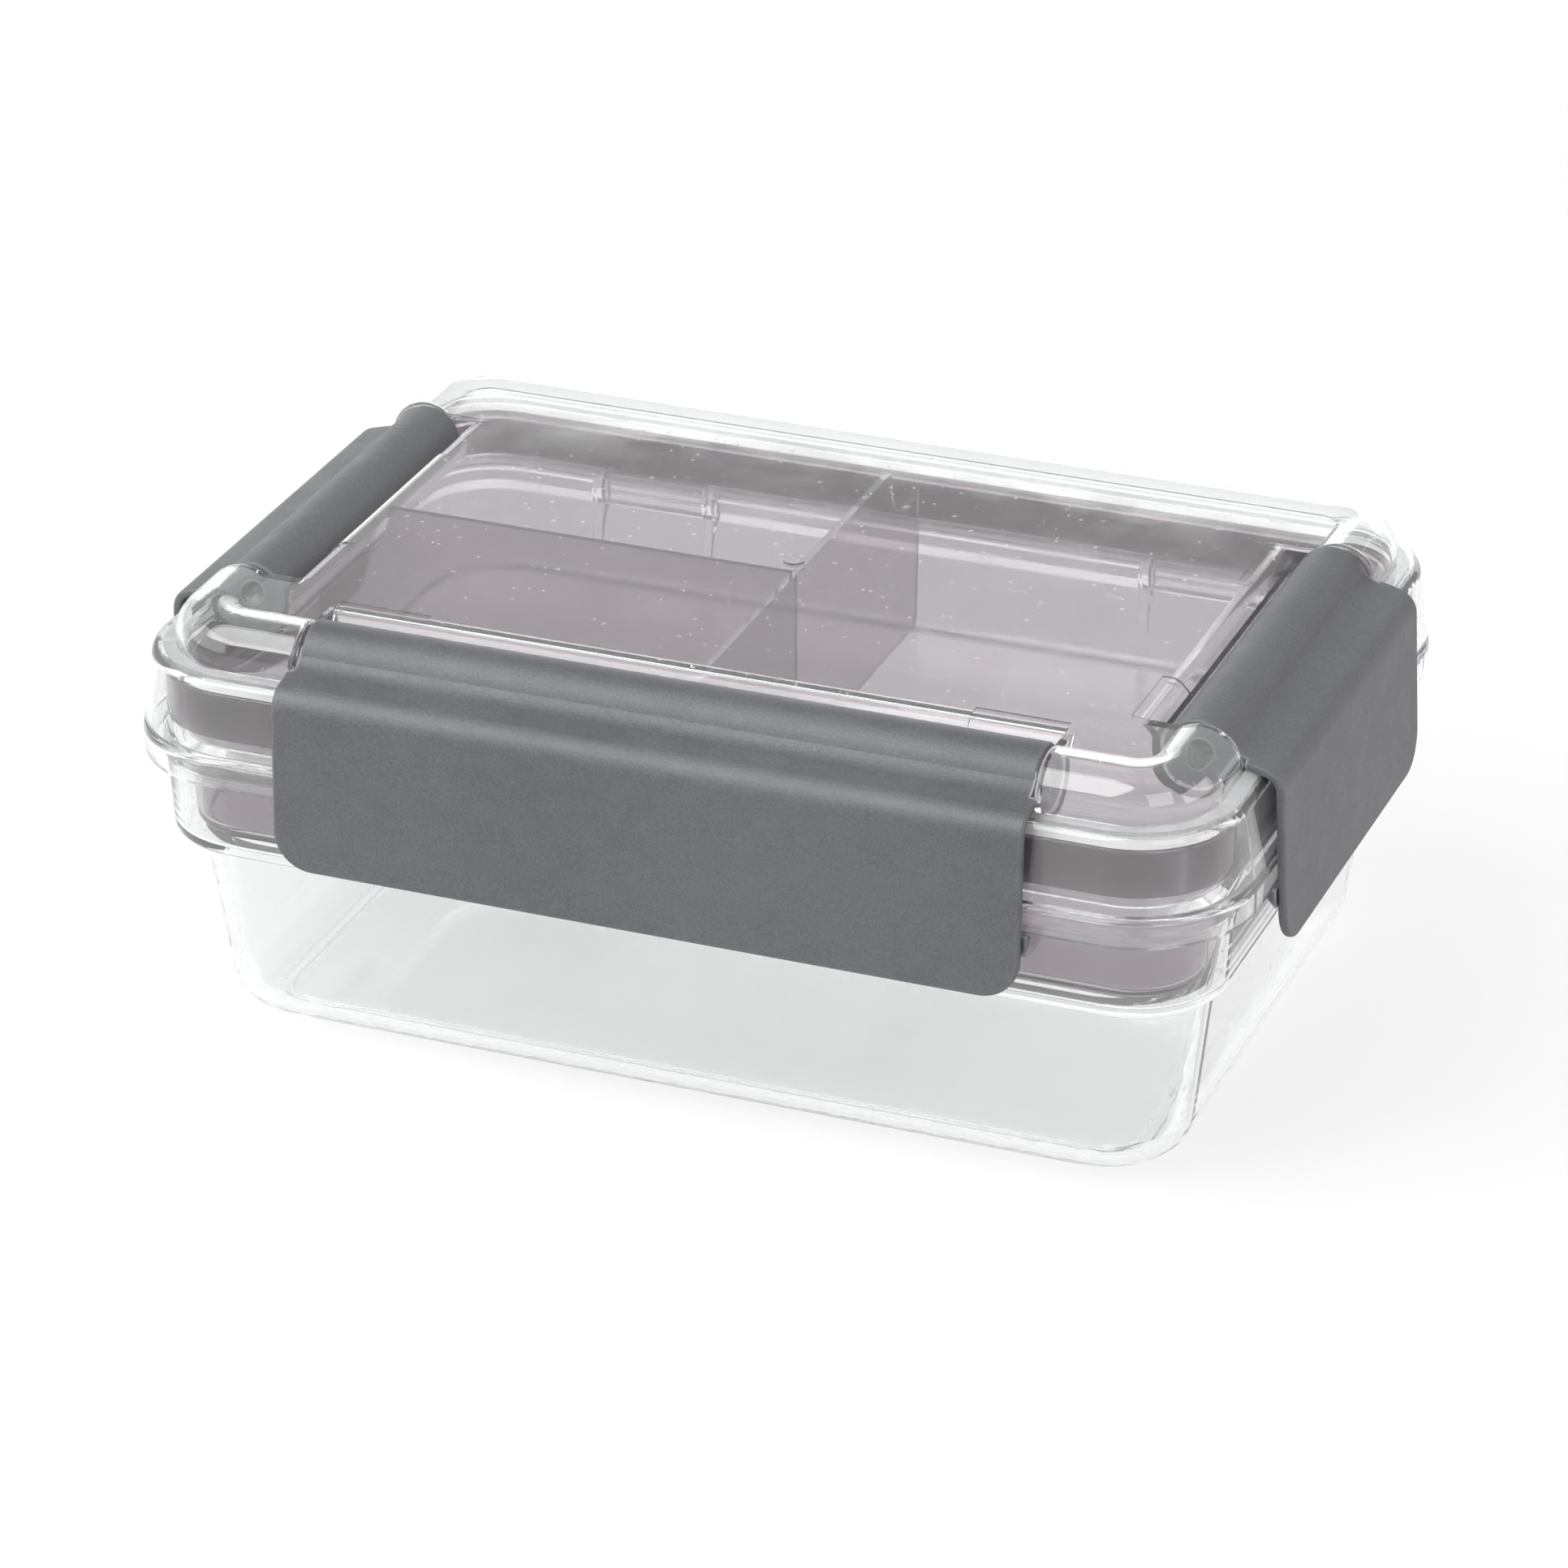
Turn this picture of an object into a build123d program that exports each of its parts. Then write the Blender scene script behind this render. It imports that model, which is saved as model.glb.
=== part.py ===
from build123d import *
import os

# Clear snap-lock storage box, divided tray inside, lid hinged at the back.
# Millimetres. X runs along the long side, -Y is the front, +Z is up.
# The origin is on the table, under the middle of the box.

# ---- driving dimensions ----
FLANGE_X = 114.6        # half length of the base's flange, the reference outline
FLANGE_Y = 79.1         # half depth of the flange
FLANGE_R = 24.0         # corner radius of the flange
LATCH_REACH = 2.9       # how far a latch stands out past the flange at its foot
GAP = 0.3               # clearance between pieces that don't bear on each other

# heights
FOOT_Z = 1.6            # height of the foot ring
LEDGE_Z = 42.0          # underside of the step in the base's wall
FLANGE_Z0 = 60.0        # lower edge of the flange's rim
FLANGE_Z1 = 66.0        # top of the flange
SHOULDER_Z = 82.2       # top of the lid's shoulder
PANEL_Z = 90.0          # top of the lid's flat panel
BEAD_TOP_Z = 91.5       # top of the lid's hollow bead

# walls
BASE_WALL = 2.0
LID_WALL = 1.4
TRAY_WALL = 1.3

# base, as insets from the flange outline
FLOOR_INSET = 14.0      # wall at the foot
LOWER_INSET = 8.9       # wall just under the step
STEP_INSET = 5.3        # wall just above the step
NECK_INSET = 3.9        # wall under the flange
FLOOR_R = 17.0          # corner radius at the foot
LOWER_R = 20.0          # corner radius just under the step
FLOOR_ROUND = 9.0       # rounding between floor and wall
STEP_ROUND = 2.2        # rounding under the step
FLANGE_ROUND = 1.6      # rounding on top of the flange
RIM_WALL = 1.8          # the flange's own wall, round the channel under it
COLLAR_ROUND = 0.5
THROAT_RISE = 3.0       # the inside narrows to the collar over this height
FOOT_HALF_Y = 57.2      # half depth of the foot ring
FOOT_R = 12.0
FOOT_WALL = 2.4

# lid
SKIRT_INSET_LOW = 0.3
SKIRT_INSET_TOP = 2.6
BEAD_R = 8.0
BEAD_END_ROUND = 1.2    # rounding where the bead stops at a latch's pocket
BEAD_INSET = 15.0       # inset of the bead's centre line from the flange outline
POCKET_WALL = 2.0       # upright part of a latch pocket's inner wall, above the barrel's axis
POCKET_SLOPE = 3.0      # how far that wall then leans back, up to the panel
PANEL_EDGE_ROUND = 3.5  # rounding where the panel turns down into a pocket
POCKET_WALL_ROUND = 2.0 # rounding where the leaning wall turns upright
PAD_LENGTH = 19.0       # shallow pads over the pockets' inner edges, at each end
PAD_WIDTH = 3.2
PAD_DEPTH = 0.3
SHOULDER_ROUND = 2.5    # rounding on top of the lid's shoulder
GATE_R = 2.2            # moulding gate's disc in the middle of the panel
GATE_RISE = 0.5

# latches
BARREL_R = 7.0
BARREL_INSET = 16.1     # inset of the barrel's axis from the flange outline
BARREL_Z = 84.5
FRONT_HALF = 76.8       # half length of the front latch
SIDE_HALF = 43.9        # half length of each side latch
BARREL_SHORTER = 1.4    # the barrel is this much shorter at each end than the plate
LATCH_WALL = 1.8
LATCH_FOOT_Z = 46.7     # lower edge of every latch
PIN_R = 2.6             # moulded pin on the lid that a latch turns on
PIN_LENGTH = 4.0
PIN_PLAY = 0.05         # radial clearance of a pin in the barrel

# back hinge
HINGE_Y = 79.0
HINGE_Z = 63.0
HINGE_X0 = 50.0         # each hinge spans HINGE_X0 to HINGE_X1 either side of the middle
HINGE_X1 = 73.0
ROD_R = 1.5
KNUCKLE_R = 3.0
EAR_R = 2.9
EAR_THICK = 2.2
GUSSET_FOOT_Z = 46.0    # the ribs under the hinge ears end here
GUSSET_BULGE = 2.4      # how far a rib stands out of the wall a third of the way up
CLIP_WALL = 2.6         # tab between the lid's skirt and a hinge clip
CLIP_TAB_HEIGHT = 8.0
CLIP_PINCH = 0.4        # the clip's mouth is this much narrower than the rod

# tray
TRAY_FLOOR_Z = 44.1
TRAY_RIM_Z = 78.5
LIP_FOOT_Z = 68.5       # lower edge of the lip that hangs over the base's collar
DIVIDER_Z = 86.6
DIVIDER_WALL = 1.5
TRAY_FLOOR_INSET = 9.6
TRAY_FLOOR_WALL = 1.6
TRAY_FLOOR_ROUND = 3.0
LIP_ROUND = 1.0
DIVIDER_SINK = 0.8      # the dividers start this far down in the tray's floor
DIVIDER_INSET = 10.0    # the dividers run out to here, in the middle of the tray's wall
NOTCH_ROOM = 1.2        # clearance of the dividers' notches round the lid's troughs

# ---- derived ----
TROUGH_R = BARREL_R + 0.4
POCKET_X = -BARREL_INSET - TROUGH_R     # a pocket's upright wall, from the flange outline
POCKET_WALL_Z = BARREL_Z + POCKET_WALL  # top of that upright wall
COLLAR_Z = TRAY_RIM_Z - TRAY_WALL - GAP
COLLAR_INSET = 6.5
LIP_INSET = COLLAR_INSET - GAP - TRAY_WALL
TRAY_INSET = COLLAR_INSET + TRAY_WALL + GAP
SEAL_Z = TRAY_RIM_Z + 0.2   # underside of the seal
SEAL_INSET = LIP_INSET - 0.2
SEAL_WIDTH = 2.9
ABOVE = 20.0            # cutting bodies run this far past what they cut


def outline(inset, z, radius=None):
    """Rounded rectangle at height z, inset from the flange outline."""
    if radius is None:
        radius = max(FLANGE_R - inset, 4.0)
    face = RectangleRounded(2 * (FLANGE_X - inset), 2 * (FLANGE_Y - inset), radius)
    return Pos(0, 0, z) * face


def block(inset_low, z_low, inset_top, z_top, r_low=None, r_top=None):
    """Tapered block between two rounded rectangles."""
    return loft([outline(inset_low, z_low, r_low), outline(inset_top, z_top, r_top)], ruled=True)


def edges_at(solid, z):
    """All level edges of a solid at height z."""
    return solid.edges().filter_by_position(Axis.Z, z - 0.01, z + 0.01)


def bead_tube(radius):
    """Tube that follows the lid's rim, its centre line BEAD_INSET in from the flange."""
    path = outline(BEAD_INSET, BEAD_TOP_Z - BEAD_R).wire()
    start = path @ 0
    section = Plane(origin=start, z_dir=path % 0) * Circle(radius)
    return sweep(section, path=path)


def pocket(half, radius, shoulder_z):
    """Space round a latch's barrel and over its arm, for a latch on the +X side."""
    barrel = Pos(-BARREL_INSET, 0, BARREL_Z) * Rot(90, 0, 0) * Cylinder(radius, 2 * half)
    inner = -BARREL_INSET - radius
    with BuildSketch(Plane.XZ) as section:
        with BuildLine():
            Polyline(
                (-BARREL_INSET, shoulder_z),
                (-BARREL_INSET, BARREL_Z),
                (inner, BARREL_Z),
                (inner, BARREL_Z + POCKET_WALL),
                (inner - POCKET_SLOPE, PANEL_Z),
                (inner - POCKET_SLOPE, PANEL_Z + ABOVE),
                (ABOVE, PANEL_Z + ABOVE),
                (ABOVE, shoulder_z),
                close=True,
            )
        make_face()
    return barrel + extrude(section.sketch, half, both=True)


def on_side(side, shape, reach):
    """Turn a shape made for the +X side, measured from the flange outline, to a side of the box."""
    turn = {"right": 0, "front": -90, "left": 180, "back": 90}[side]
    return Rot(0, 0, turn) * Pos(reach, 0, 0) * shape


LATCHES = {
    "front": (FRONT_HALF, FLANGE_Y),
    "left": (SIDE_HALF, FLANGE_X),
    "right": (SIDE_HALF, FLANGE_X),
}


def pockets(extra_radius, extra_length, shoulder_z):
    """The three latches' pockets, joined."""
    made = []
    for side, (half, reach) in LATCHES.items():
        pocket_half = half - BARREL_SHORTER + GAP + extra_length
        space = pocket(pocket_half, TROUGH_R + extra_radius, shoulder_z)
        made.append(on_side(side, space, reach))
    return made[0] + made[1] + made[2]


# ---- base ----
def hinge_bar(side_sign, radius, x0, x1):
    """Round bar on the hinge axis from x0 to x1, on one side of the middle."""
    middle = side_sign * (x0 + x1) / 2
    return Pos(middle, HINGE_Y, HINGE_Z) * Rot(0, 90, 0) * Cylinder(radius, x1 - x0)


def gusset(x):
    """Upright rib that carries a hinge ear and fades into the base's back wall."""
    with BuildSketch(Plane.YZ) as section:
        with BuildLine():
            top = FLANGE_Z1 - 1
            wall = FLANGE_Y - STEP_INSET - 0.3
            ear_foot = (HINGE_Y + 0.7 * EAR_R, HINGE_Z - 0.7 * EAR_R)
            foot = (wall + 0.8, GUSSET_FOOT_Z)
            belly = (wall + GUSSET_BULGE, GUSSET_FOOT_Z + 8)
            Line((wall, top), (HINGE_Y, top))
            Line((HINGE_Y, top), ear_foot)
            ThreePointArc(ear_foot, belly, foot)
            Line(foot, (wall, GUSSET_FOOT_Z))
            Line((wall, GUSSET_FOOT_Z), (wall, top))
        make_face()
    return Pos(x, 0, 0) * extrude(section.sketch, EAR_THICK / 2, both=True)


def make_base():
    lower = block(FLOOR_INSET, FOOT_Z, LOWER_INSET, LEDGE_Z + 1, FLOOR_R, LOWER_R)
    lower = fillet(edges_at(lower, FOOT_Z), FLOOR_ROUND)
    upper = block(STEP_INSET, LEDGE_Z, NECK_INSET, FLANGE_Z1 - 1)
    upper = fillet(edges_at(upper, LEDGE_Z), STEP_ROUND)
    flange = block(0, FLANGE_Z0, 0, FLANGE_Z1)
    flange = fillet(edges_at(flange, FLANGE_Z1), FLANGE_ROUND)
    collar = block(COLLAR_INSET, FLANGE_Z1 - 1, COLLAR_INSET, COLLAR_Z)
    collar = fillet(edges_at(collar, COLLAR_Z), COLLAR_ROUND)
    channel = block(RIM_WALL, FLANGE_Z0 - 1, RIM_WALL, FLANGE_Z1 - RIM_WALL)
    channel = channel - block(NECK_INSET, FLANGE_Z0 - 1, NECK_INSET, FLANGE_Z1)
    outer = lower + upper + (flange - channel) + collar

    low_in = block(
        FLOOR_INSET + BASE_WALL, FOOT_Z + BASE_WALL,
        LOWER_INSET + BASE_WALL, LEDGE_Z + 2,
        FLOOR_R - BASE_WALL, LOWER_R - BASE_WALL,
    )
    low_in = fillet(edges_at(low_in, FOOT_Z + BASE_WALL), FLOOR_ROUND - BASE_WALL)
    step_z = LEDGE_Z + RIM_WALL
    up_in = block(STEP_INSET + BASE_WALL, step_z, NECK_INSET + BASE_WALL, FLANGE_Z0)
    up_in = fillet(edges_at(up_in, step_z), STEP_ROUND - 1)
    neck_inset = COLLAR_INSET + TRAY_WALL
    neck_z = FLANGE_Z0 + THROAT_RISE
    throat = block(NECK_INSET + BASE_WALL, FLANGE_Z0, neck_inset, neck_z)
    neck = block(neck_inset, neck_z, neck_inset, COLLAR_Z + 1)
    base = outer - low_in - up_in - throat - neck

    foot_inset = FLANGE_Y - FOOT_HALF_Y
    foot = block(foot_inset, 0, foot_inset, FOOT_Z + 1, FOOT_R, FOOT_R)
    foot_in = foot_inset + FOOT_WALL
    foot_in_r = FOOT_R - FOOT_WALL
    foot = foot - block(foot_in, -1, foot_in, FOOT_Z, foot_in_r, foot_in_r)
    base = base + foot

    for sign in (-1, 1):
        window = Pos(sign * (HINGE_X0 + HINGE_X1) / 2, FLANGE_Y - NECK_INSET, FLANGE_Z0 - 1) * Box(
            HINGE_X1 - HINGE_X0, 10, 10, align=(Align.CENTER, Align.MIN, Align.MIN)
        )
        base = base - window
        base = base + hinge_bar(sign, ROD_R, HINGE_X0 - 1, HINGE_X1 + 1)
        for x0 in (HINGE_X0 - EAR_THICK, HINGE_X1):
            base = base + hinge_bar(sign, EAR_R, x0, x0 + EAR_THICK)
            base = base + gusset(sign * (x0 + EAR_THICK / 2))
    return base


# ---- tray ----
def divider_notches():
    """Space round the latches' troughs, and its mirror at the back, that the dividers keep clear of."""
    made = []
    for side, reach in (("front", FLANGE_Y), ("left", FLANGE_X), ("back", FLANGE_Y), ("right", FLANGE_X)):
        space = pocket(SIDE_HALF, TROUGH_R + LID_WALL + NOTCH_ROOM, SHOULDER_Z - LID_WALL)
        made.append(on_side(side, space, reach))
    return made


def make_tray():
    floor_z = TRAY_FLOOR_Z + TRAY_FLOOR_WALL
    shell = block(TRAY_FLOOR_INSET, TRAY_FLOOR_Z, TRAY_INSET, TRAY_RIM_Z)
    shell = fillet(edges_at(shell, TRAY_FLOOR_Z), TRAY_FLOOR_ROUND)
    inside = block(TRAY_FLOOR_INSET + TRAY_WALL, floor_z, TRAY_INSET + TRAY_WALL, TRAY_RIM_Z + 1)
    inside = fillet(edges_at(inside, floor_z), TRAY_FLOOR_ROUND - 1)
    lip = block(LIP_INSET, LIP_FOOT_Z, LIP_INSET, TRAY_RIM_Z)
    lip = fillet(edges_at(lip, TRAY_RIM_Z), LIP_ROUND)
    hollow = LIP_INSET + TRAY_WALL
    lip = lip - block(hollow, LIP_FOOT_Z - 1, hollow, TRAY_RIM_Z - TRAY_WALL)
    outer = shell + lip

    start_z = TRAY_FLOOR_Z + DIVIDER_SINK
    height = DIVIDER_Z - start_z
    cross = Pos(0, 0, start_z) * Box(
        DIVIDER_WALL, 2 * (FLANGE_Y - DIVIDER_INSET), height, align=(Align.CENTER, Align.CENTER, Align.MIN)
    )
    half = Pos(0, 0, start_z) * Box(
        FLANGE_X - DIVIDER_INSET, DIVIDER_WALL, height, align=(Align.MAX, Align.CENTER, Align.MIN)
    )
    dividers = cross + half
    for space in divider_notches():
        dividers = dividers - space
    return (outer - inside) + dividers


# ---- lid ----
def pocket_edges(solid, z):
    """Long edges of the latch pockets' inner walls at height z."""
    edges = edges_at(solid, z).filter_by(GeomType.LINE)
    return [edge for edge in edges if edge.length > SIDE_HALF and edge.center().Y < FLANGE_Y / 2]


def pad_space():
    """Shallow recess that runs from the panel down a pocket's leaning wall, for a latch on the +X side."""
    lean = POCKET_SLOPE / (PANEL_Z - POCKET_WALL_Z)
    foot_x = POCKET_X - PAD_DEPTH * (1 + lean**2) ** 0.5
    floor_z = PANEL_Z - PAD_DEPTH
    turn_x = foot_x - lean * (floor_z - POCKET_WALL_Z)
    start_x = POCKET_X - POCKET_SLOPE - PAD_WIDTH
    with BuildSketch(Plane.XZ) as section:
        with BuildLine():
            FilletPolyline(
                (start_x, floor_z), (turn_x, floor_z), (foot_x, POCKET_WALL_Z), radius=PANEL_EDGE_ROUND
            )
            Polyline(
                (foot_x, POCKET_WALL_Z),
                (POCKET_X + 1, POCKET_WALL_Z),
                (POCKET_X + 1, PANEL_Z + 1),
                (start_x, PANEL_Z + 1),
                (start_x, floor_z),
            )
        make_face()
    return extrude(section.sketch, PAD_LENGTH / 2, both=True)


def bead_end_edges(solid):
    """Round edges where the bead stops at the ends of the latches' pockets."""
    found = []
    for edge in solid.edges().filter_by(GeomType.CIRCLE):
        middle = edge.center()
        front_gap = abs(abs(middle.X) - (FRONT_HALF - BARREL_SHORTER + GAP))
        side_gap = abs(abs(middle.Y) - (SIDE_HALF - BARREL_SHORTER + GAP))
        at_front = front_gap < 0.01 and middle.Y < -FLANGE_Y / 2
        at_side = side_gap < 0.01 and abs(middle.X) > FLANGE_X / 2
        if (at_front or at_side) and middle.Z > SHOULDER_Z + 0.2:
            found.append(edge)
    return found


def make_lid():
    skirt = block(SKIRT_INSET_LOW, FLANGE_Z1 + GAP, SKIRT_INSET_TOP, SHOULDER_Z)
    skirt = fillet(edges_at(skirt, SHOULDER_Z), SHOULDER_ROUND)
    panel = block(BEAD_INSET, SHOULDER_Z - 1, BEAD_INSET, PANEL_Z)
    outer = skirt + panel + bead_tube(BEAD_R)
    outer = outer - pockets(0, 0, SHOULDER_Z)
    outer = fillet(bead_end_edges(outer), BEAD_END_ROUND)
    outer = fillet(pocket_edges(outer, PANEL_Z), PANEL_EDGE_ROUND)
    outer = fillet(pocket_edges(outer, POCKET_WALL_Z), POCKET_WALL_ROUND)

    skirt_in = block(
        SKIRT_INSET_LOW + LID_WALL, FLANGE_Z1, SKIRT_INSET_TOP + LID_WALL, SHOULDER_Z - LID_WALL
    )
    panel_in = block(BEAD_INSET, SHOULDER_Z - LID_WALL - 1, BEAD_INSET, PANEL_Z - LID_WALL)
    inner = skirt_in + panel_in + bead_tube(BEAD_R - LID_WALL)
    inner = inner - pockets(LID_WALL, LID_WALL, SHOULDER_Z - LID_WALL)
    inner = fillet(pocket_edges(inner, PANEL_Z - LID_WALL), PANEL_EDGE_ROUND - LID_WALL)
    lid = outer - inner

    for side, (half, reach) in LATCHES.items():
        end = half - BARREL_SHORTER + GAP
        for sign in (-1, 1):
            pin = Pos(-BARREL_INSET, sign * (end - PIN_LENGTH / 2 + 0.5), BARREL_Z) * Rot(90, 0, 0)
            lid = lid + on_side(side, pin * Cylinder(PIN_R, PIN_LENGTH + 1), reach)

    for sign in (-1, 1):
        x0 = HINGE_X0 + GAP
        x1 = HINGE_X1 - GAP
        tab = Pos(sign * (x0 + x1) / 2, FLANGE_Y + GAP - CLIP_WALL, HINGE_Z) * Box(
            x1 - x0, CLIP_WALL, CLIP_TAB_HEIGHT, align=(Align.CENTER, Align.MIN, Align.MIN)
        )
        knuckle = hinge_bar(sign, KNUCKLE_R, x0, x1) + tab
        knuckle = knuckle - hinge_bar(sign, ROD_R + PIN_PLAY, x0 - 1, x1 + 1)
        mouth = Pos(sign * (x0 + x1) / 2, HINGE_Y, HINGE_Z) * Box(
            x1 - x0 + 2, 2 * ROD_R - CLIP_PINCH, 5, align=(Align.CENTER, Align.CENTER, Align.MAX)
        )
        lid = lid + (knuckle - mouth)

    for side, (half, reach) in LATCHES.items():
        for sign in (-1, 1):
            middle = sign * (half - BARREL_SHORTER - PAD_LENGTH / 2)
            lid = lid - on_side(side, Pos(0, middle, 0) * pad_space(), reach)
    gate = Pos(0, 0, PANEL_Z + GATE_RISE) * Cylinder(
        GATE_R, 2 * GATE_RISE, align=(Align.CENTER, Align.CENTER, Align.MAX)
    )
    return lid + gate


# ---- seal ----
def make_seal():
    """Soft ring stuck under the lid's shoulder, just above the tray's rim."""
    z1 = SHOULDER_Z - LID_WALL
    outer = block(SEAL_INSET, SEAL_Z, SEAL_INSET, z1)
    inner_inset = SEAL_INSET + SEAL_WIDTH
    return outer - block(inner_inset, SEAL_Z - 1, inner_inset, z1 + 1)


# ---- latches ----
# A latch is drawn for the +X side: x is measured out from the flange outline, y along the latch.
ARM_START = (-BARREL_INSET + 0.82 * BARREL_R, BARREL_Z + 0.57 * BARREL_R)
ARM_HOLLOW = (-9.0, 86.4)
ARM_DIP = (-6.9, 85.2)
ARM_CREST = (-2.15, 83.96)
SHOULDER_MIDDLE = (-0.16, 82.74)
PLATE_TOP = (1.3, 79.2)
PLATE_FOOT = (LATCH_REACH, LATCH_FOOT_Z)
PLATE_CORNER_R = 8.0
RIM_ROUND = 0.7             # rounding of a plate's outer and inner edges
BARREL_ROUND = 0.6          # rounding of a barrel's ends
BARREL_END_X = -6.6         # a latch is at its barrel's length up to here, and wider beyond
CATCH_Z = FLANGE_Z0 - GAP   # flat top of the catch, just under the flange
CATCH_DEPTH = 2.6           # how far the catch reaches in from the plate
CATCH_DROP = 4.0            # the catch's slanted underside ends this far below its top
CATCH_NOSE = 1.2            # upright part of the catch's nose
CATCH_PAST = 0.8            # the catch runs this far past the plate's straight part at each end


def plate_inner_x(z):
    """X of the plate's inner face at height z."""
    slope = (PLATE_FOOT[0] - PLATE_TOP[0]) / (PLATE_TOP[1] - PLATE_FOOT[1])
    level_wall = LATCH_WALL * (1 + slope**2) ** 0.5
    return PLATE_TOP[0] + slope * (PLATE_TOP[1] - z) - level_wall


def latch_section():
    """Arm and plate of a latch in section, of even thickness."""
    with BuildSketch(Plane.XZ) as section:
        with BuildLine():
            ThreePointArc(ARM_START, ARM_HOLLOW, ARM_DIP)
            Line(ARM_DIP, ARM_CREST)
            ThreePointArc(ARM_CREST, SHOULDER_MIDDLE, PLATE_TOP)
            Line(PLATE_TOP, PLATE_FOOT)
            offset(amount=LATCH_WALL, side=Side.RIGHT)
        make_face()
    return section.sketch


def rim_edges(plate, half):
    """Edges of a latch's plate at its two ends, round its corners and along its foot."""
    found = []
    for edge in plate.edges():
        box = edge.bounding_box()
        in_end_face = box.size.Y < 0.01 and abs(abs(box.min.Y) - half) < 0.01
        at_foot = box.max.Z < LATCH_FOOT_Z + PLATE_CORNER_R + 0.01
        if (in_end_face or at_foot) and edge.length > 2 * LATCH_WALL - 0.5:
            found.append(edge)
    return found


def make_latch(half):
    barrel_half = half - BARREL_SHORTER
    plate = extrude(latch_section(), half, both=True)
    corners = plate.edges().filter_by_position(Axis.Z, LATCH_FOOT_Z - 1, LATCH_FOOT_Z + 1)
    plate = fillet(corners.filter_by(lambda edge: edge.length < 2 * LATCH_WALL), PLATE_CORNER_R)
    wide = Pos(BARREL_END_X, 0, BARREL_Z) * Box(
        20, 2 * half + 2, 20, align=(Align.MAX, Align.CENTER, Align.CENTER)
    )
    kept = Pos(BARREL_END_X, 0, BARREL_Z) * Box(
        20, 2 * barrel_half, 20, align=(Align.MAX, Align.CENTER, Align.CENTER)
    )
    plate = plate - (wide - kept)
    plate = fillet(rim_edges(plate, half), RIM_ROUND)
    barrel = Pos(-BARREL_INSET, 0, BARREL_Z) * Rot(90, 0, 0) * Cylinder(BARREL_R, 2 * barrel_half)
    barrel = fillet(barrel.edges().filter_by(GeomType.CIRCLE), BARREL_ROUND)
    latch = plate + barrel
    for sign in (-1, 1):
        bore = Pos(-BARREL_INSET, sign * barrel_half, BARREL_Z) * Rot(90, 0, 0)
        latch = latch - bore * Cylinder(PIN_R + PIN_PLAY, 2 * PIN_LENGTH)
    return latch


def make_catch(half):
    """Flexible lip inside a latch's plate that snaps under the flange."""
    low = CATCH_Z - CATCH_DROP
    with BuildSketch(Plane.XZ) as section:
        with BuildLine():
            Polyline(
                (plate_inner_x(CATCH_Z), CATCH_Z),
                (plate_inner_x(CATCH_Z) - CATCH_DEPTH, CATCH_Z),
                (plate_inner_x(CATCH_Z) - CATCH_DEPTH, CATCH_Z - CATCH_NOSE),
                (plate_inner_x(low), low),
                close=True,
            )
        make_face()
    return extrude(section.sketch, half + CATCH_PAST, both=True)


# ---- every node, in place ----
nodes = {
    "base_box": make_base(),
    "divided_tray": make_tray(),
    "lid": make_lid(),
    "lid_seal": make_seal(),
}
for side, (half, reach) in LATCHES.items():
    nodes[f"{side}_latch"] = on_side(side, make_latch(half), reach)
    nodes[f"{side}_latch_catch"] = on_side(side, make_catch(half), reach)

os.makedirs("parts", exist_ok=True)
for name, solid in nodes.items():
    export_step(solid, f"parts/{name}.step")
    print(name, solid.is_valid, round(solid.volume))
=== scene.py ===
"""Looks, light and camera for the compartment storage box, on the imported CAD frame."""

import math

import bpy
from mathutils import Matrix, Vector


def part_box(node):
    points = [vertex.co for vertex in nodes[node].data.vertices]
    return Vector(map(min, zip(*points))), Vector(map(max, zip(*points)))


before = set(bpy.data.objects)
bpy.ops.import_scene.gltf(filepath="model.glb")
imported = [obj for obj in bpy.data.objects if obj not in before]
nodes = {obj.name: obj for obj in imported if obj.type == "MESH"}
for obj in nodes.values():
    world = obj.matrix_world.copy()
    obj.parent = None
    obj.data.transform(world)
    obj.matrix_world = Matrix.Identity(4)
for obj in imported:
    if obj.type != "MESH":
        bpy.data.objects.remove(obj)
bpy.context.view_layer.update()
scene = bpy.context.scene

# ---- node helpers ----

RIM_SOFT = 0.0008
EDGE_SAMPLES = 6
EDGE_DOT_FLAT = 0.998
EDGE_DOT_SHARP = 0.91


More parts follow.
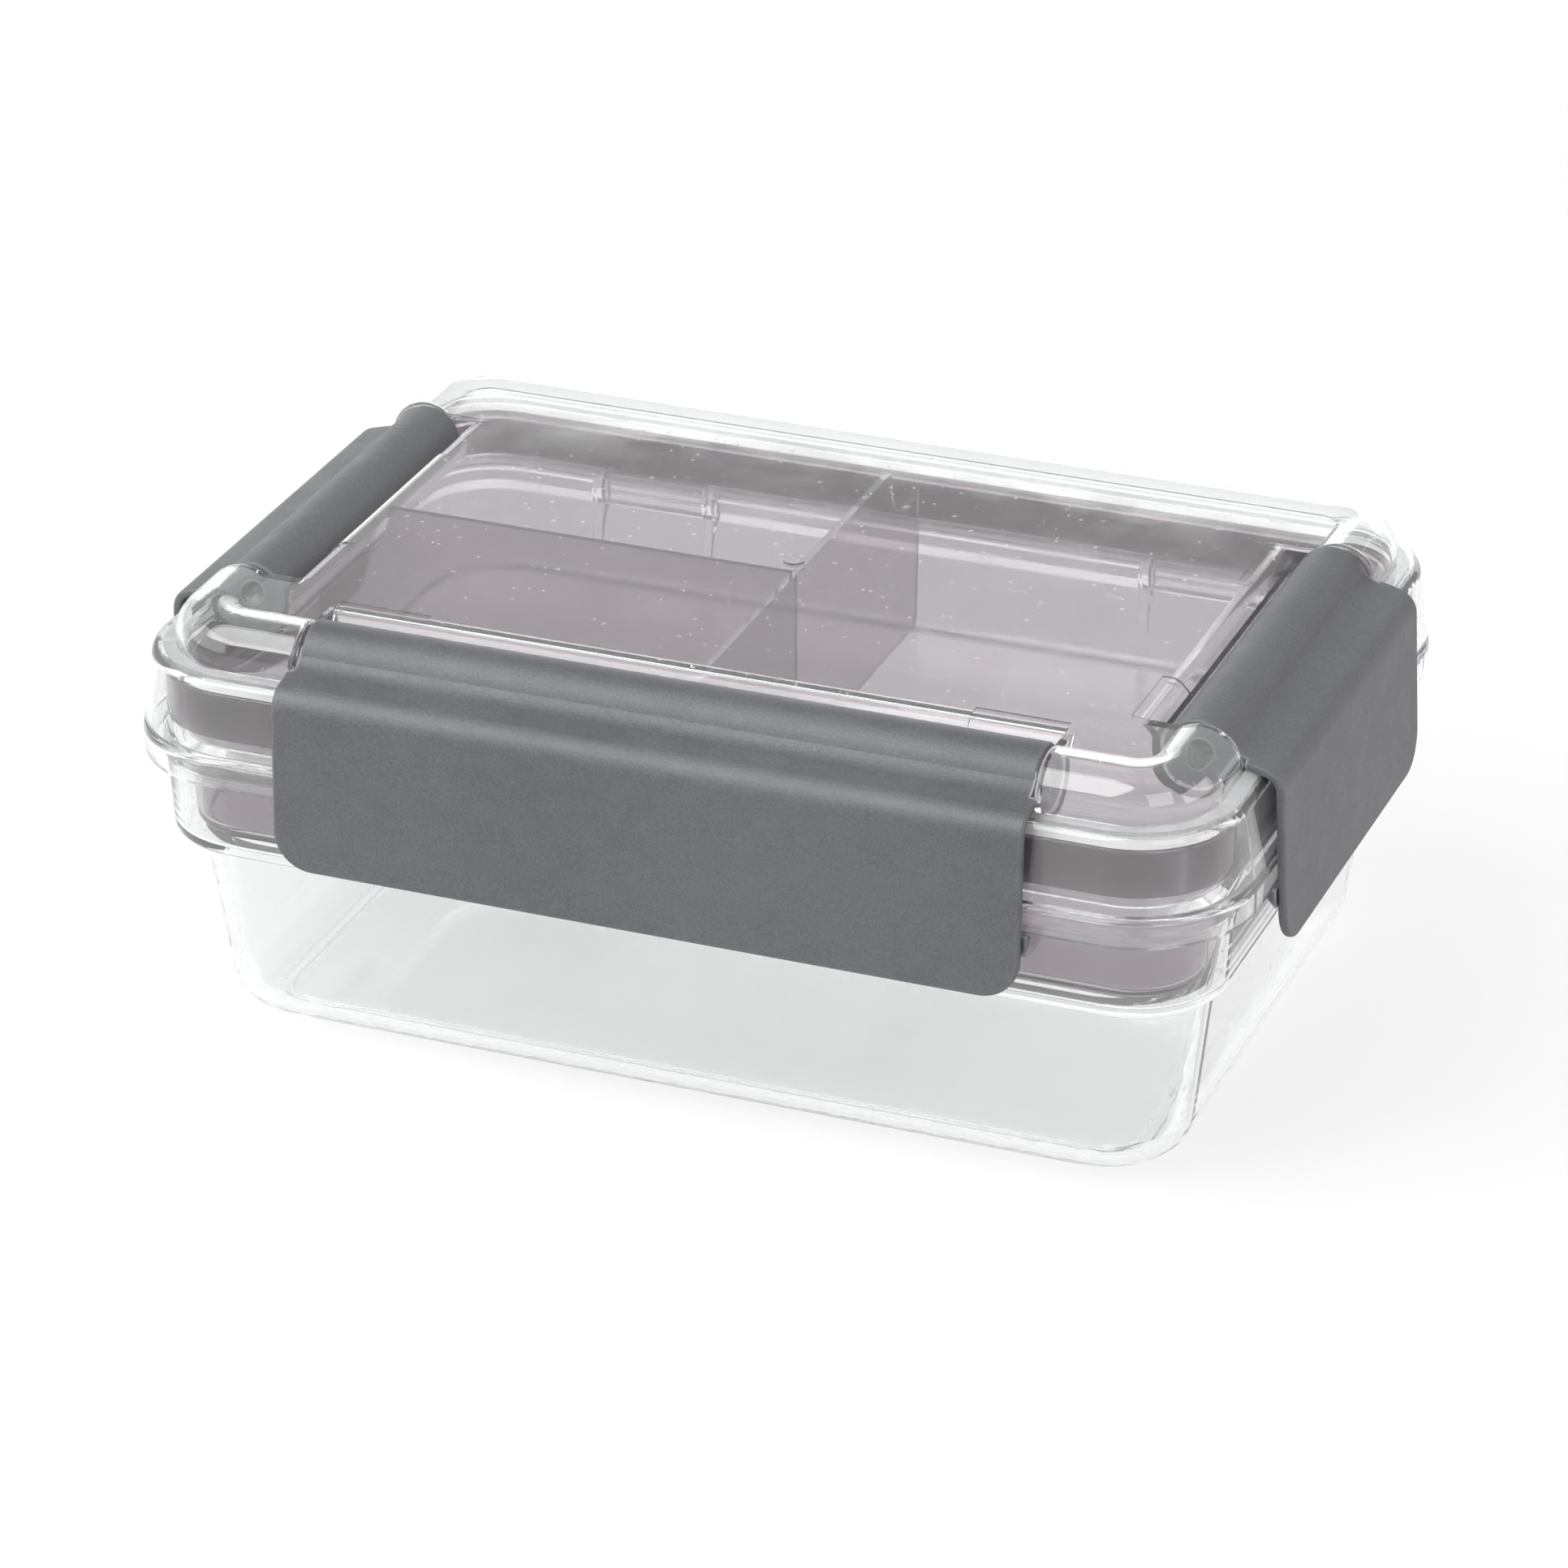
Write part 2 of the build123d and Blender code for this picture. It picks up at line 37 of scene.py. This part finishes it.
class Graph:
    """A material's node tree with short ways to add nodes and links."""

    def __init__(self, name):
        self.material = bpy.data.materials.new(name)
        self.material.use_nodes = True
        self.tree = self.material.node_tree
        self.tree.nodes.clear()

    def node(self, kind, **settings):
        made = self.tree.nodes.new(kind)
        for key, value in settings.items():
            setattr(made, key, value)
        return made

    def link(self, source, target):
        self.tree.links.new(source, target)

    def coordinates(self, scale=(1.0, 1.0, 1.0), turn_z=0.0):
        """Object coordinates, scaled, and turned about Z."""
        source = self.node("ShaderNodeTexCoord")
        mapping = self.node("ShaderNodeMapping")
        mapping.inputs["Scale"].default_value = scale
        mapping.inputs["Rotation"].default_value = (0.0, 0.0, turn_z)
        self.link(source.outputs["Object"], mapping.inputs["Vector"])
        return mapping.outputs["Vector"]

    def noise(self, vector, scale, detail, roughness, distortion=0.0):
        made = self.node("ShaderNodeTexNoise")
        made.inputs["Scale"].default_value = scale
        made.inputs["Detail"].default_value = detail
        made.inputs["Roughness"].default_value = roughness
        made.inputs["Distortion"].default_value = distortion
        self.link(vector, made.inputs["Vector"])
        return made.outputs["Fac"]

    def span(self, value, low, high, out_low=0.0, out_high=1.0):
        """value from low..high to out_low..out_high, smoothly and clamped."""
        made = self.node("ShaderNodeMapRange", interpolation_type="SMOOTHSTEP")
        made.inputs["From Min"].default_value = low
        made.inputs["From Max"].default_value = high
        made.inputs["To Min"].default_value = out_low
        made.inputs["To Max"].default_value = out_high
        self.link(value, made.inputs["Value"])
        return made.outputs["Result"]

    def maths(self, operation, *values):
        """A Math node on sockets or plain numbers."""
        made = self.node("ShaderNodeMath", operation=operation)
        for socket, value in zip(made.inputs, values):
            if isinstance(value, (int, float)):
                socket.default_value = value
            else:
                self.link(value, socket)
        return made.outputs["Value"]

    def mix(self, factor, first, second):
        """Colour from first, a colour or a socket, to second, a colour."""
        made = self.node("ShaderNodeMix", data_type="RGBA")
        if isinstance(first, tuple):
            made.inputs["A"].default_value = (*first, 1.0)
        else:
            self.link(first, made.inputs["A"])
        made.inputs["B"].default_value = (*second, 1.0)
        self.link(factor, made.inputs["Factor"])
        return made.outputs["Result"]

    def bump(self, height, strength, distance, below=None):
        made = self.node("ShaderNodeBump")
        made.inputs["Strength"].default_value = strength
        made.inputs["Distance"].default_value = distance
        self.link(height, made.inputs["Height"])
        if below is not None:
            self.link(below, made.inputs["Normal"])
        return made.outputs["Normal"]

    def rim(self, half_x, half_y, low, high):
        """1 outside a rectangle about the middle and above a height, else 0, softly from low to high."""
        source = self.node("ShaderNodeTexCoord")
        split = self.node("ShaderNodeSeparateXYZ")
        self.link(source.outputs["Object"], split.inputs[0])
        past_x = self.maths("SUBTRACT", self.maths("ABSOLUTE", split.outputs["X"]), half_x)
        past_y = self.maths("SUBTRACT", self.maths("ABSOLUTE", split.outputs["Y"]), half_y)
        outside = self.span(self.maths("MAXIMUM", past_x, past_y), 0.0, RIM_SOFT)
        return self.maths("MULTIPLY", outside, self.span(split.outputs["Z"], low, high))

    def edges(self, radius):
        """0 on flats, towards 1 at edges, from how far a rounded normal differs from the face's own."""
        bevel = self.node("ShaderNodeBevel", samples=EDGE_SAMPLES)
        bevel.inputs["Radius"].default_value = radius
        geometry = self.node("ShaderNodeNewGeometry")
        dot = self.node("ShaderNodeVectorMath", operation="DOT_PRODUCT")
        self.link(bevel.outputs["Normal"], dot.inputs[0])
        self.link(geometry.outputs["Normal"], dot.inputs[1])
        return self.span(dot.outputs["Value"], EDGE_DOT_FLAT, EDGE_DOT_SHARP)

    def clear_where(self, factor, shader, tint=(1.0, 1.0, 1.0)):
        """The shader, and plain tinted transparency where factor is 1."""
        passing = self.node("ShaderNodeBsdfTransparent")
        passing.inputs["Color"].default_value = (*tint, 1.0)
        chosen = self.node("ShaderNodeMixShader")
        self.link(factor, chosen.inputs[0])
        self.link(shader, chosen.inputs[1])
        self.link(passing.outputs[0], chosen.inputs[2])
        return chosen.outputs[0]

    def finished(self, shader):
        """The material, with this shader as its surface."""
        out = self.node("ShaderNodeOutputMaterial")
        self.link(shader, out.inputs["Surface"])
        return self.material


# ---- materials ----

PLASTIC_IOR = 1.5
WAVE_BUMP = 0.018
WAVE_HEIGHT = 0.002
SCRATCH_BUMP = 0.10
SCRATCH_DEPTH = 0.0002
SCRATCH_ROUGHNESS = 0.12


def plastic_glass(name, tint, dirty_tint, shadow_tint, roughness, clear, rim=None, rim_tint=None):
    """Clear moulded plastic: tinted, with faint flow waviness, hairline scratches and patchy gloss.

    tint and dirty_tint take turns in patches, and shadow_tint is what its shadow lets through.
    """
    g = Graph(name)
    flow = g.noise(g.coordinates((1.0, 1.0, 0.4)), scale=28.0, detail=1.0, roughness=0.5, distortion=0.6)
    cloud = g.noise(g.coordinates(), scale=60.0, detail=3.0, roughness=0.6)
    long_x = g.coordinates((45.0, 2600.0, 900.0), turn_z=0.12)
    long_x_crossing = g.coordinates((60.0, 2300.0, 900.0), turn_z=-0.35)
    lines = g.noise(long_x, scale=1.0, detail=1.0, roughness=0.5)
    crossing = g.noise(long_x_crossing, scale=1.0, detail=1.0, roughness=0.5)
    scratches = g.maths("ADD", g.span(lines, 0.79, 0.87), g.span(crossing, 0.80, 0.88))
    specks = g.span(g.noise(g.coordinates(), scale=700.0, detail=0.0, roughness=0.4), 0.79, 0.84)
    worn = g.maths("MAXIMUM", g.maths("MINIMUM", scratches, 1.0), specks)
    patchy = g.span(cloud, 0.3, 0.75, out_low=roughness[0], out_high=roughness[1])
    rough = g.maths("ADD", patchy, g.maths("MULTIPLY", worn, SCRATCH_ROUGHNESS))
    normal = g.bump(flow, WAVE_BUMP, WAVE_HEIGHT)
    normal = g.bump(worn, SCRATCH_BUMP, SCRATCH_DEPTH, normal)
    colour = g.mix(cloud, tint, dirty_tint)
    if rim is not None:
        colour = g.mix(g.rim(*rim), colour, rim_tint)
    body = g.node("ShaderNodeBsdfPrincipled")
    body.inputs["Transmission Weight"].default_value = clear
    body.inputs["IOR"].default_value = PLASTIC_IOR
    g.link(colour, body.inputs["Base Color"])
    g.link(rough, body.inputs["Roughness"])
    g.link(normal, body.inputs["Normal"])
    path = g.node("ShaderNodeLightPath")
    return g.finished(g.clear_where(path.outputs["Is Shadow Ray"], body.outputs[0], shadow_tint))


def slate_plastic(name, light, dark, edge_highlight_colour):
    """Matte moulded plastic: fine spark-eroded grain, faint mottling, and a painted highlight that lightens
    the edges in patches.
    """
    g = Graph(name)
    grain = g.noise(g.coordinates(), scale=1900.0, detail=3.0, roughness=0.6)
    mottle = g.noise(g.coordinates(), scale=160.0, detail=5.0, roughness=0.6)
    broad = g.noise(g.coordinates(), scale=14.0, detail=3.0, roughness=0.5)
    mottle_share = g.maths("MULTIPLY", mottle, 0.22)
    broad_share = g.maths("MULTIPLY", broad, 0.28)
    grain_share = g.maths("MULTIPLY", grain, 0.5)
    mixed = g.maths("ADD", g.maths("ADD", mottle_share, broad_share), grain_share)
    base = g.mix(g.span(mixed, 0.38, 0.62), dark, light)
    # Painted highlight: the colour is lightened towards a pale grey along the edges the bevel finds, in
    # mottled patches, standing in for light caught by rounded edges.
    highlight_patchiness = g.span(mottle, 0.3, 0.7, out_low=0.55, out_high=1.0)
    edge = g.maths("MULTIPLY", g.edges(radius=0.0009), highlight_patchiness)
    normal = g.bump(grain, strength=0.6, distance=0.00016)
    normal = g.bump(mottle, strength=0.16, distance=0.0008, below=normal)
    body = g.node("ShaderNodeBsdfPrincipled")
    body.inputs["IOR"].default_value = 1.6
    g.link(g.mix(edge, base, edge_highlight_colour), body.inputs["Base Color"])
    g.link(g.span(mottle, 0.25, 0.75, out_low=0.46, out_high=0.58), body.inputs["Roughness"])
    g.link(normal, body.inputs["Normal"])
    return g.finished(body.outputs[0])


def silicone(name, light, dark):
    """Milky soft seal: half clear, with a satin skin and a little dust."""
    g = Graph(name)
    cloud = g.noise(g.coordinates(), scale=220.0, detail=5.0, roughness=0.6)
    dust = g.span(g.noise(g.coordinates(), scale=1400.0, detail=2.0, roughness=0.5), 0.66, 0.74)
    body = g.node("ShaderNodeBsdfPrincipled")
    body.inputs["Transmission Weight"].default_value = 0.45
    body.inputs["IOR"].default_value = 1.41
    g.link(g.mix(cloud, light, dark), body.inputs["Base Color"])
    g.link(g.span(cloud, 0.3, 0.7, out_low=0.35, out_high=0.5), body.inputs["Roughness"])
    g.link(g.bump(dust, strength=0.2, distance=0.0001), body.inputs["Normal"])
    return g.finished(body.outputs[0])


CLEAR = plastic_glass(
    "clear_plastic",
    tint=(0.932, 0.946, 0.941),
    dirty_tint=(0.915, 0.929, 0.924),
    shadow_tint=(0.985, 0.988, 0.988),
    roughness=(0.012, 0.05),
    clear=0.982,
)
tray_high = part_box("divided_tray")[1]
TRAY_RIM_WIDTH = 0.0055
TRAY_RIM_FOOT = 0.0665
TRAY_RIM_FULL = 0.0695
SMOKY = plastic_glass(
    "smoky_plastic",
    tint=(0.520, 0.466, 0.499),
    dirty_tint=(0.490, 0.436, 0.469),
    shadow_tint=(0.88, 0.865, 0.875),
    roughness=(0.03, 0.09),
    clear=0.988,
    rim=(tray_high[0] - TRAY_RIM_WIDTH, tray_high[1] - TRAY_RIM_WIDTH, TRAY_RIM_FOOT, TRAY_RIM_FULL),
    rim_tint=(0.235, 0.195, 0.22),
)
SLATE = slate_plastic(
    "slate_plastic", light=(0.074, 0.078, 0.083), dark=(0.048, 0.052, 0.056), edge_highlight_colour=(0.27, 0.28, 0.285)
)
SEAL = silicone("silicone", light=(0.80, 0.80, 0.80), dark=(0.70, 0.70, 0.71))

LOOKS = {"base_box": CLEAR, "lid": CLEAR, "divided_tray": SMOKY, "lid_seal": SEAL}
for name in nodes:
    nodes[name].data.materials.clear()
    nodes[name].data.materials.append(LOOKS.get(name, SLATE))

# ---- floor, light and camera ----

FLOOR_HALF = 3.0
FLOOR_DROP = 0.0002
FLOOR_GLOW = 0.62
FLOOR_SPECULAR = 0.1
MIDDLE_AT = 0.45


def floor():
    """A pale sheet under the box, evenly lit from inside like a light table, and clear from below."""
    mesh = bpy.data.meshes.new("floor")
    corners = [(x * FLOOR_HALF, y * FLOOR_HALF, 0) for x, y in ((-1, -1), (1, -1), (1, 1), (-1, 1))]
    mesh.from_pydata(corners, [], [(0, 1, 2, 3)])
    made = bpy.data.objects.new("floor", mesh)
    made.location.z = -FLOOR_DROP
    g = Graph("floor_sheet")
    cloud = g.noise(g.coordinates(), scale=3.0, detail=2.0, roughness=0.5)
    body = g.node("ShaderNodeBsdfPrincipled")
    body.inputs["Specular IOR Level"].default_value = FLOOR_SPECULAR
    body.inputs["Emission Color"].default_value = (1.0, 1.0, 1.0, 1.0)
    body.inputs["Emission Strength"].default_value = FLOOR_GLOW
    g.link(g.mix(cloud, (0.25, 0.25, 0.25), (0.24, 0.24, 0.24)), body.inputs["Base Color"])
    g.link(g.span(cloud, 0.3, 0.7, out_low=0.6, out_high=0.7), body.inputs["Roughness"])
    side = g.node("ShaderNodeNewGeometry")
    mesh.materials.append(g.finished(g.clear_where(side.outputs["Backfacing"], body.outputs[0])))
    scene.collection.objects.link(made)


def panel_light(name, at, target, size, power, colour=(1.0, 1.0, 1.0)):
    """A soft rectangular lamp at a place, facing a target, and not seen by the camera."""
    data = bpy.data.lights.new(name, "AREA")
    data.shape = "RECTANGLE"
    data.size, data.size_y = size
    data.energy = power
    data.color = colour
    made = bpy.data.objects.new(name, data)
    made.location = at
    made.rotation_euler = (Vector(target) - Vector(at)).to_track_quat("-Z", "Y").to_euler()
    made.visible_camera = False
    scene.collection.objects.link(made)


def studio_world(low, middle, high):
    """A plain grey room: dimmest below, and brightest overhead."""
    world = bpy.data.worlds.new("studio")
    world.use_nodes = True
    tree = world.node_tree
    background = tree.nodes["Background"]
    coords = tree.nodes.new("ShaderNodeTexCoord")
    split = tree.nodes.new("ShaderNodeSeparateXYZ")
    ramp = tree.nodes.new("ShaderNodeValToRGB")
    tree.links.new(coords.outputs["Generated"], split.inputs[0])
    tree.links.new(split.outputs["Z"], ramp.inputs[0])
    bottom, top = ramp.color_ramp.elements
    bottom.position = 0.0
    bottom.color = (low, low, low, 1.0)
    top.position = 1.0
    top.color = (high, high, high, 1.0)
    between = ramp.color_ramp.elements.new(MIDDLE_AT)
    between.color = (middle, middle, middle, 1.0)
    tree.links.new(ramp.outputs["Color"], background.inputs["Color"])
    scene.world = world


BOX_MIDDLE = (0, 0, 0.05)
BACKDROP_Z = 0.318
floor()
studio_world(low=0.55, middle=0.60, high=0.72)
panel_light("key_left", (-0.95, -0.6, 0.5), BOX_MIDDLE, (1.1, 0.8), 6.0)
panel_light("front_top", (-0.5, -0.70, 1.1), BOX_MIDDLE, (1.3, 1.05), 22.0)
panel_light("front_right", (1.1, -0.9, 0.7), BOX_MIDDLE, (0.8, 0.9), 5.5, (1.0, 0.93, 0.96))
panel_light("right_fill", (1.25, 0.25, 0.35), BOX_MIDDLE, (1.1, 0.6), 6.5, (1.0, 0.88, 0.93))
panel_light("backdrop", (-0.45, 1.2, BACKDROP_Z), (-0.45, 0, BACKDROP_Z), (1.8, 0.62), 5.6)

CAMERA_AZIMUTH = math.radians(21.619)
CAMERA_ELEVATION = math.radians(26.456)
CAMERA_ROLL = math.radians(-0.172)
CAMERA_DISTANCE = 1.27882
CAMERA_AIM = (0, 0, 0.04)
CAMERA_LEFT = 0.00214
CAMERA_UP = 0.00058
forward = Vector(
    (
        -math.sin(CAMERA_AZIMUTH) * math.cos(CAMERA_ELEVATION),
        math.cos(CAMERA_AZIMUTH) * math.cos(CAMERA_ELEVATION),
        -math.sin(CAMERA_ELEVATION),
    )
)
level_right = Vector((math.cos(CAMERA_AZIMUTH), math.sin(CAMERA_AZIMUTH), 0.0))
level_up = level_right.cross(forward)
right = math.cos(CAMERA_ROLL) * level_right + math.sin(CAMERA_ROLL) * level_up
up = -math.sin(CAMERA_ROLL) * level_right + math.cos(CAMERA_ROLL) * level_up
place = Vector(CAMERA_AIM) - forward * CAMERA_DISTANCE - level_right * CAMERA_LEFT + level_up * CAMERA_UP
camera = bpy.data.objects.new("camera", bpy.data.cameras.new("camera"))
camera.data.sensor_width = 36.0
camera.data.lens = 145.49
camera.data.clip_start = 0.05
camera.data.clip_end = 20.0
camera.data.dof.use_dof = False
camera.matrix_world = Matrix(
    (
        (right.x, up.x, -forward.x, place.x),
        (right.y, up.y, -forward.y, place.y),
        (right.z, up.z, -forward.z, place.z),
        (0.0, 0.0, 0.0, 1.0),
    )
)
scene.collection.objects.link(camera)
scene.camera = camera

# Light passes the nested walls of the lid, tray and base, and each wall takes two bounces.
CLEAR_BOUNCES = 18
scene.view_settings.view_transform = "Standard"
scene.cycles.max_bounces = CLEAR_BOUNCES
scene.cycles.transmission_bounces = CLEAR_BOUNCES
scene.cycles.transparent_max_bounces = CLEAR_BOUNCES
scene.cycles.glossy_bounces = 8
scene.cycles.diffuse_bounces = 3
scene.cycles.adaptive_threshold = 0.05
scene.cycles.use_denoising = True
